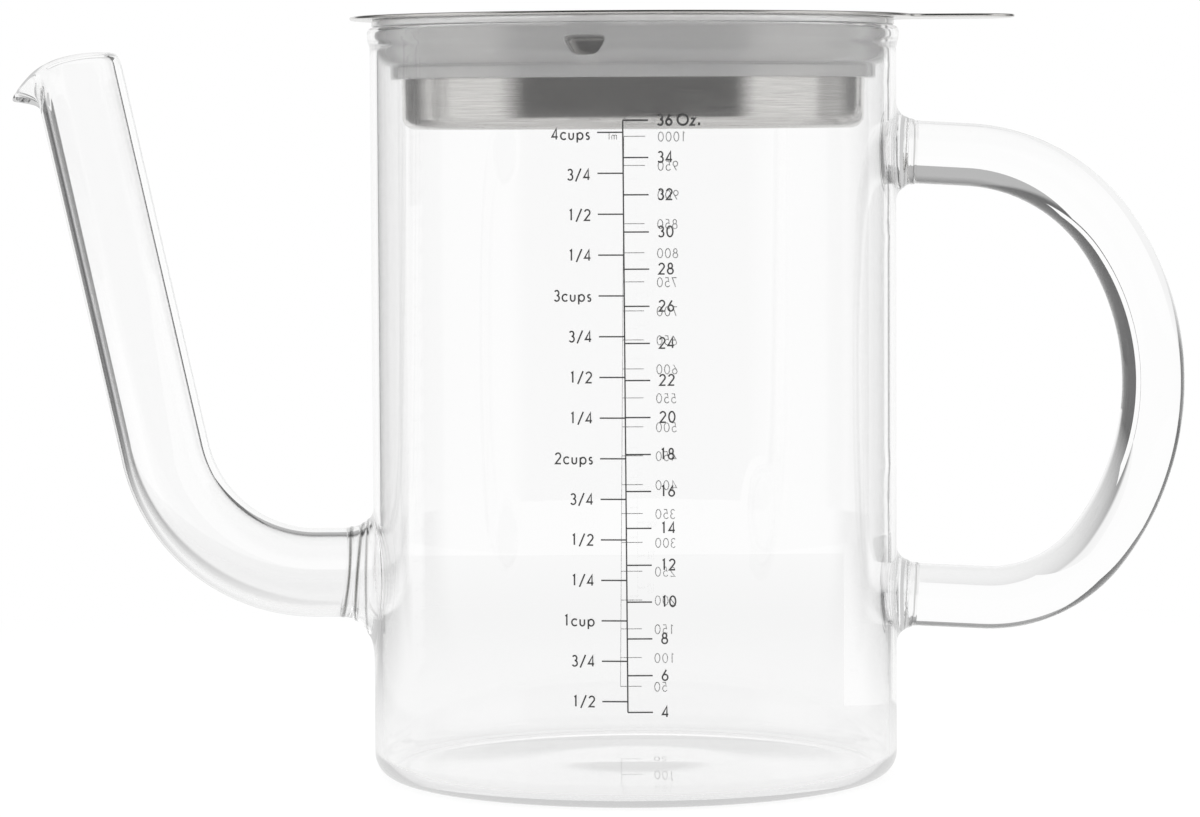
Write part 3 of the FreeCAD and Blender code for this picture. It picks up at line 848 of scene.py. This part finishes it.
def vent_radius(angle):
    """The vent's outline, wide at the top and narrow at its sill, by the angle from straight up."""
    half_width = VENT_HALF_WIDTH * (1 + 0.5 * math.cos(angle))
    across, up = abs(math.sin(angle)) / half_width, abs(math.cos(angle)) / VENT_HALF_HEIGHT
    return (across ** 5 + up ** 5) ** -0.2


def make_ring():
    surface = Surface()
    low, high = seal_low.z, seal_high.z
    collar_low = high - COLLAR_THICKNESS
    collar = seal_high.x
    first, last = VENT_HEIGHT - 2.6, VENT_HEIGHT + 2.9    # the patch's lower and upper edge
    lower_rows = spaced(low + SKIRT_EDGE, SKIRT_TOP, 5)
    lower_rows += [blend(SKIRT_TOP, first, share) for share in (0.02, 0.15, 0.4, 0.7)]
    rows = lower_rows + spaced(first, last, VENT_WINDOW)
    rows += spaced(last, collar_low - COLLAR_FILLET, 3)[1:]
    column = round(RING_COLUMNS * (270 - VENT_ANGLE) / 360)
    window = Window(column, len(lower_rows), 1, 1, VENT_HEIGHT, VENT_WINDOW, RING_COLUMNS)

    outer = lathe(surface, [(ring_radius(z), z) for z in rows], RING_COLUMNS)
    bore = lathe(surface, [(RING_BORE, z) for z in rows], RING_COLUMNS)
    fill_grid(surface, outer, (window,))
    fill_grid(surface, bore, (window,))
    fold = arc((BULGE_RADIUS + COLLAR_FILLET, collar_low - COLLAR_FILLET),
               COLLAR_FILLET, 180, 90, 5)[1:]
    edge_x = collar - COLLAR_EDGE
    edge = arc((edge_x, collar_low + COLLAR_EDGE), COLLAR_EDGE, -90, 0, 5)
    edge += arc((edge_x, high - COLLAR_EDGE), COLLAR_EDGE, 0, 90, 5)
    mouth = [(RING_BORE + FLANGE_BEND, high), (RING_BORE + 0.5, high - 0.5),
             (RING_BORE + 0.1, high - FLANGE_BEND + 0.2)]
    over = lathe(surface, fold + edge + mouth, RING_COLUMNS)
    surface.bands([outer[-1]] + over + [bore[-1]])
    foot_z = low + SKIRT_EDGE
    foot = arc((SKIRT_RADIUS - SKIRT_EDGE, foot_z), SKIRT_EDGE, 0, -90, 4)[1:]
    foot += arc((RING_BORE + SKIRT_EDGE, foot_z), SKIRT_EDGE, -90, -180, 4)[:-1]
    surface.bands([outer[0]] + lathe(surface, foot, RING_COLUMNS) + [bore[0]])

    outer_edge, bore_edge = window.edge(outer), window.edge(bore)
    flats = [window.flat(surface.points[k], BULGE_RADIUS) for k in outer_edge]

    def patch_loop(share, grown, depth):
        """A loop round the vent. share runs from the patch's edge to the vent, grown widens the
        vent, and depth goes from 0 on the outside of the ring to 1 at its bore."""
        points = []
        for flat in flats:
            angle = math.atan2(flat.x, flat.y)
            reach = vent_radius(angle) + grown
            hole = Vector((math.sin(angle), math.cos(angle))) * reach
            place = blend(flat, hole, share)
            point = window.rolled(place, BULGE_RADIUS)
            radius = blend(ring_radius(VENT_HEIGHT + place.y), RING_BORE, depth)
            scale = radius / BULGE_RADIUS
            points.append((point.x * scale, point.y * scale, point.z))
        return surface.loop(points)

    loops = [outer_edge] + [patch_loop(share, SOFT_EDGE, 0) for share in (0.35, 0.65, 0.85, 1.0)]
    loops += [patch_loop(1, SOFT_EDGE * (1 - math.sin(t)), 0.09 * (1 - math.cos(t)))
              for t in (0.4, 0.8, 1.2, math.pi / 2)]
    loops += [patch_loop(1, 0, depth) for depth in (0.3, 0.6, 0.9)]
    loops += [patch_loop(1, SOFT_EDGE, 1)]
    loops += [patch_loop(share, SOFT_EDGE, 1) for share in (0.7, 0.35)] + [bore_edge]
    surface.bands(loops)
    surface.piece("silicone_ring", silicone, "seal", "silicone", replaced=("sealing_ring",))


make_ring()


# ---------------------------------------------------------------- printed scales

ENAMEL_FOOT = OUTER + 0.015
ENAMEL_TOP = OUTER + 0.06


def bow(cx, cy, rx, ry, first=0, last=360):
    """Points on part of an ellipse, from one angle to another."""
    count = max(4, round(abs(last - first) / 18))
    angles = [math.radians(angle) for angle in spaced(first, last, count)]
    return [(cx + rx * math.cos(a), cy + ry * math.sin(a)) for a in angles]


# Each glyph's width and strokes, for a figure of height 1.
GLYPHS = {
    "0": (0.60, [bow(0.30, 0.50, 0.28, 0.50)]),
    "1": (0.26, [[(0.02, 0.90), (0.17, 1.0), (0.17, 0.0)]]),
    "2": (0.56, [bow(0.27, 0.73, 0.25, 0.27, 165, -30) + [(0.02, 0.0), (0.55, 0.0)]]),
    "3": (0.52, [bow(0.25, 0.76, 0.21, 0.24, 150, -90), bow(0.25, 0.27, 0.25, 0.27, 90, -150)]),
    "4": (0.58, [[(0.42, 0.0), (0.42, 1.0), (0.0, 0.24), (0.56, 0.24)]]),
    "5": (0.52, [[(0.48, 1.0), (0.16, 1.0), (0.08, 0.56)]
                 + bow(0.22, 0.31, 0.26, 0.31, 115, -150)]),
    "6": (0.57, [[(0.40, 1.0), (0.06, 0.42)], bow(0.28, 0.28, 0.26, 0.28)]),
    "7": (0.52, [[(0.0, 1.0), (0.50, 1.0), (0.12, 0.0)]]),
    "8": (0.54, [bow(0.27, 0.75, 0.19, 0.25), bow(0.27, 0.27, 0.26, 0.27)]),
    "9": (0.57, [bow(0.28, 0.72, 0.26, 0.28), [(0.50, 0.58), (0.16, 0.0)]]),
    "O": (1.00, [bow(0.50, 0.50, 0.50, 0.50)]),
    "z": (0.44, [[(0.0, 0.60), (0.40, 0.60), (0.0, 0.0), (0.42, 0.0)]]),
    ".": (0.20, [[(0.0, 0.05), (0.20, 0.05)], [(0.0, 0.13), (0.20, 0.13)]]),
    "/": (0.52, [[(0.52, 1.09), (0.0, -0.14)]]),
    "c": (0.50, [bow(0.30, 0.32, 0.29, 0.32, 45, 315)]),
    "u": (0.52, [[(0.05, 0.62), (0.05, 0.25)]
                 + bow(0.26, 0.23, 0.21, 0.23, 180, 360) + [(0.47, 0.62)]]),
    "p": (0.60, [[(0.05, 0.62), (0.05, -0.30)], bow(0.32, 0.31, 0.27, 0.31)]),
    "s": (0.36, [bow(0.19, 0.47, 0.13, 0.15, 40, 250) + bow(0.18, 0.16, 0.14, 0.16, 90, -150)]),
    "m": (0.80, [[(0.05, 0.62), (0.05, 0.0)],
                 bow(0.22, 0.42, 0.17, 0.20, 180, 0) + [(0.39, 0.0)],
                 bow(0.56, 0.42, 0.17, 0.20, 180, 0) + [(0.73, 0.0)]]),
    "l": (0.12, [[(0.05, 1.0), (0.05, 0.0)]]),
    " ": (0.00, []),
}
LETTER_GAP = 0.27


def text_strokes(text, height, left=None, right=None, middle=0.0):
    """Strokes of a line of text, from its left or up to its right edge."""
    strokes, pen = [], 0.0
    for letter in text:
        width, lines = GLYPHS[letter]
        bearing = 0.12 if letter == "1" else 0.0
        pen += bearing
        strokes += [[(pen + x, y - 0.5) for x, y in line] for line in lines]
        pen += width + bearing + LETTER_GAP
    start = left if right is None else right - (pen - LETTER_GAP) * height
    return [[(start + x * height, middle + y * height) for x, y in line] for line in strokes]


class Print:
    """Enamel strokes on the outside of the wall. facing is the wall's angle at the middle."""

    def __init__(self, facing):
        self.surface, self.facing = Surface(), math.radians(facing)

    def place(self, flat, radius):
        return wall_point(radius, self.facing + flat.x / OUTER, flat.y)

    def stroke(self, line, width):
        """A flat band of the given width along a line, closed at its ends."""
        points = [Vector(p) for p in line]
        closed = (points[0] - points[-1]).length < 1e-6
        if closed:
            points.pop()
        count = len(points)
        loops = []
        for k, point in enumerate(points):
            before = point - points[k - 1] if k or closed else points[1] - point
            after = points[(k + 1) % count] - point if k < count - 1 or closed else before
            before, after = before.normalized(), after.normalized()
            along = (before + after).normalized()
            across = Vector((-along.y, along.x)) * (width / 2)
            across *= min(1 / max(along.dot(before), 0.1), 2.2)
            loops.append(self.surface.loop([
                self.place(point + across, ENAMEL_FOOT), self.place(point - across, ENAMEL_FOOT),
                self.place(point - across, ENAMEL_TOP), self.place(point + across, ENAMEL_TOP)]))
        self.surface.bands(loops + loops[:1] if closed else loops)
        if not closed:
            self.surface.faces += [tuple(loops[0]), tuple(loops[-1])]

    def strokes(self, lines, width):
        for line in lines:
            self.stroke(line, width)


TICK_STROKE = 0.27
FIGURE_STROKE = 0.30
FIGURE_HEIGHT = 2.0
OUNCE_TICK = 4.76
OUNCE_FIGURES = 6.55                 # from the upright line to the figures
CUP_TICK = 4.86
CUP_FIGURES = 6.3
QUARTER_CUP = 7.7                    # from tick to tick
MILLILITRE_TICK = 4.59
BACK_STROKE = 0.16


def make_front_scale():
    """Ounces to the right of an upright line, cups to its left."""
    ink = Print(-90)
    top, bottom = 131.0, 18.9
    fluid_ounces = range(36, 2, -2)
    step = (top - bottom) / (len(fluid_ounces) - 1)

    def line_at(z):
        return -2.35 + 0.45 * (top - z) / (top - bottom)

    ink.stroke([(line_at(top), top), (line_at(bottom), bottom)], TICK_STROKE)
    for k, ounces in enumerate(fluid_ounces):
        z = top - k * step
        tick, figure = (0.34, 0.40) if k == 0 else (TICK_STROKE, FIGURE_STROKE)
        ink.stroke([(line_at(z), z), (line_at(z) + OUNCE_TICK, z)], tick)
        text = "36 Oz." if ounces == 36 else str(ounces)
        left = line_at(z) + OUNCE_FIGURES
        figures = text_strokes(text, FIGURE_HEIGHT, left=left, middle=z + 0.08)
        ink.strokes(figures, figure)
    quarters = ("", "1/4", "1/2", "3/4")
    highest = 128.75
    for quarter in range(16, 1, -1):
        z = highest - (16 - quarter) * QUARTER_CUP
        cups, part = divmod(quarter, 4)
        text = quarters[part] or "%dcup%s" % (cups, "s" if cups > 1 else "")
        sunk = 0.3 * smooth(100, 129, z)
        ink.stroke([(line_at(z), z), (line_at(z) - CUP_TICK, z)], TICK_STROKE)
        right = line_at(z) - CUP_FIGURES
        figures = text_strokes(text, FIGURE_HEIGHT, right=right, middle=z - sunk)
        ink.strokes(figures, FIGURE_STROKE)
    ink.surface.piece("front_scale", front_enamel, "jug", "glass")


def make_back_scale():
    """Millilitres, read from behind."""
    ink = Print(90)
    top, bottom = 127.5, 10.7

    def line_at(z):
        return 1.6 + 1.3 * (top - z) / (top - bottom)

    ink.stroke([(line_at(top), top), (line_at(bottom), bottom)], 0.10)
    for k, millilitres in enumerate(range(1000, 0, -50)):
        z = top - k * (top - bottom) / 19
        end = line_at(z) - MILLILITRE_TICK
        ink.stroke([(line_at(z), z), (end, z)], BACK_STROKE)
        ink.strokes(text_strokes(str(millilitres), 1.94, right=end - 2.8, middle=z - 0.1), 0.2)
    ink.strokes(text_strokes("ml", 1.5, left=3.1, middle=top + 0.1), BACK_STROKE)
    ink.surface.piece("back_scale", back_enamel, "jug", "glass")


make_front_scale()
make_back_scale()


# ---------------------------------------------------------------- floor, light and camera

FLOOR_REACH = 0.55                   # metres
FLOOR_DROP = 0.0002                  # below the jug, in metres


def seen_by(tree, *rays):
    """1 for the named kinds of ray, and 0 for others."""
    path = add(tree, "LightPath")
    total = path[rays[0]]
    for ray in rays[1:]:
        total = reckon(tree, "MAXIMUM", total, path[ray])
    return total


def turn_share(tree, x, y):
    """A direction's angle from +Y, positive towards +X: 0 at -180 degrees and 1 at 180."""
    return mapped(tree, reckon(tree, "ARCTAN2", x, y), (-math.pi, math.pi))


def by_angle(tree, share, stops):
    """A grey by the share of a turn, with its stops in degrees."""
    return ramp(tree, share, [(0.5 + degrees / 360, grey(tone)) for degrees, tone in stops])


def sheet_of(name, points, material):
    mesh = bpy.data.meshes.new(name)
    mesh.from_pydata(points, [], [tuple(range(len(points)))])
    mesh.materials.append(material)
    piece = add_object(name, mesh)
    return piece


def make_floor():
    material, tree, shader = new_material("pale_table", {"Base Color": grey(0.9), "Roughness": 0.6})
    place = add(tree, "TexCoord")["Object"]
    away = add(tree, "VectorMath", {0: place}, operation="LENGTH")["Value"]
    fade = mapped(tree, away, (0.08, 0.32), (0.92, 1.0), interpolation_type="SMOOTHSTEP")
    # to the camera the table is white, and glass sees it darker beside the backdrop
    x, y, _ = add(tree, "SeparateXYZ", {"Vector": place})
    beside = by_angle(tree, turn_share(tree, x, y), [
        (-180, 0.95), (-70, 0.95), (-58, 0.10), (-34, 0.10), (-30, 0.95),
        (31, 0.95), (35, 0.10), (66, 0.10), (78, 0.95), (180, 0.95)])
    far = mapped(tree, away, (0.08, 0.46))
    seen = add(tree, "Mix", {"Factor": far, "A": 0.86, "B": beside})["Result"]
    to_camera = seen_by(tree, "Is Camera Ray")
    strength = add(tree, "Mix", {"Factor": to_camera, "A": seen, "B": 1.0})["Result"]
    glow = add(tree, "Emission", {"Strength": strength})["Emission"]
    direct = seen_by(tree, "Is Camera Ray", "Is Glossy Ray", "Is Transmission Ray")
    share = reckon(tree, "MULTIPLY", direct, fade)
    mix = add(tree, "MixShader", {"Fac": share, 1: shader.outputs["BSDF"], 2: glow})
    feed(tree.nodes["Material Output"], {"Surface": mix["Shader"]})
    sheet_of("floor", [(FLOOR_REACH * math.cos(a), FLOOR_REACH * math.sin(a), -FLOOR_DROP)
                       for a in even_angles(64)], material)


def make_backdrop():
    """White panels behind the jug. The camera sees the white room instead, in every view."""
    white = bpy.data.materials.new("white_panel")
    white.use_nodes = True
    tree = white.node_tree
    tree.nodes.clear()
    glow = add(tree, "Emission", {"Strength": 1.0})
    add(tree, "OutputMaterial", {"Surface": glow["Emission"]})
    for name, left, right, distance, height in (("backdrop", -0.280, 0.285, 0.45, 0.25),
                                                ("backdrop_side", 0.205, 0.241, 0.25, 0.25),
                                                ("handle_card", 0.052, 0.102, 0.100, 0.111)):
        panel = sheet_of(name, [(left, distance, 0), (right, distance, 0),
                                (right, distance, height), (left, distance, height)], white)
        panel.visible_camera = False
        panel.visible_shadow = False


def make_world():
    """The studio: white to the camera. Glass and metal see soft boxes and darker gaps round it."""
    world = bpy.data.worlds.new("studio")
    bpy.context.scene.world = world
    world.use_nodes = True
    tree = world.node_tree
    path = add(tree, "LightPath")
    x, y, z = add(tree, "SeparateXYZ", {"Vector": add(tree, "TexCoord")["Generated"]})
    turn = turn_share(tree, x, y)

    def over(depth, limit):
        return reckon(tree, "GREATER_THAN", path[depth], limit)

    # tone by the direction's angle from +Y, in degrees, positive towards +X
    panel = [(-22, 0.10), (-18, 0.45), (18, 0.45), (22, 0.10)]
    through = by_angle(tree, turn, [
        (-180, 1.0), (-70, 1.0), (-58, 0.10), *panel, (80, 0.10), (92, 1.0), (180, 1.0)])
    off_bore = by_angle(tree, turn, [
        (-180, 0.77), (-60, 0.77), (-50, 0.10), *panel, (50, 0.10), (60, 0.77), (180, 0.77)])
    off_steel = by_angle(tree, turn, [
        (-180, 0.05), (-125, 0.05), (-111, 1.1), (-78, 1.1), (-75, 0.62), (-66, 0.62), (-63, 0.95),
        (-60, 0.95), (-47, 0.10), (-30, 0.10), (-22, 0.34), (22, 0.34), (30, 0.10), (46, 0.10),
        (60, 0.62), (77, 0.62), (80, 1.1), (119, 1.1), (129, 0.05), (180, 0.05)])
    soft = grey(0.77)
    bounced = either(tree, over("Transmission Depth", 3.5), off_bore, off_steel)
    far_wall = reckon(tree, "COMPARE", path["Transmission Depth"], 6.0, 0.5)
    bounced = either(tree, far_wall, bounced, soft)
    inside = either(tree, over("Glossy Depth", 0.5), through, bounced)
    direct = either(tree, path["Is Singular Ray"], off_steel, soft)
    tone = either(tree, path["Is Transmission Ray"], direct, inside)
    # darker towards the ceiling
    height = ramp(tree, z, [(up, grey(dim)) for up, dim in
                            ((0.0, 1.0), (0.55, 1.0), (0.80, 0.35), (1.0, 0.6))])
    tone = either(tree, 1.0, tone, height, blend_type="MULTIPLY")
    # diffuse surfaces get an even, plain light
    plain = either(tree, over("Diffuse Depth", 0.5), tone, grey(1.7))
    white = either(tree, path["Is Camera Ray"], plain, grey(1.0))
    feed(tree.nodes["Background"], {"Color": white})


def aimed(name, data, place, target):
    """A lamp or a camera at a place, turned to a target."""
    thing = add_object(name, data)
    thing.location = place
    thing.rotation_euler = (Vector(target) - Vector(place)).to_track_quat("-Z", "Y").to_euler()
    return thing


def add_lamp(name, place, target, size, watts):
    data = bpy.data.lights.new(name, "AREA")
    data.shape = "RECTANGLE"
    data.size, data.size_y = size
    data.energy = watts
    lamp = aimed(name, data, place, target)
    lamp.visible_camera = lamp.visible_glossy = lamp.visible_transmission = False


def make_camera():
    data = bpy.data.cameras.new("camera")
    data.lens = 135.5
    data.sensor_width = 36
    camera = aimed("camera", data, (-0.0069, -0.9036, 0.132), (-0.0069, 0, 0.0733))
    camera.rotation_euler.rotate_axis("Z", math.radians(-0.3))
    bpy.context.scene.camera = camera


make_floor()
make_backdrop()
make_world()
add_lamp("left_box", (-1.1, -0.25, 0.55), (0, 0, 0.08), (0.7, 0.9), 9)
add_lamp("right_box", (1.1, -0.25, 0.55), (0, 0, 0.08), (0.7, 0.9), 9)
add_lamp("top_box", (0, 0.1, 1.3), (0, 0, 0.1), (0.9, 0.7), 7)
make_camera()
bpy.context.scene.view_settings.view_transform = "Standard"

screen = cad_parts["strainer_screen"].data
screen.materials.clear()
screen.materials.append(steel)
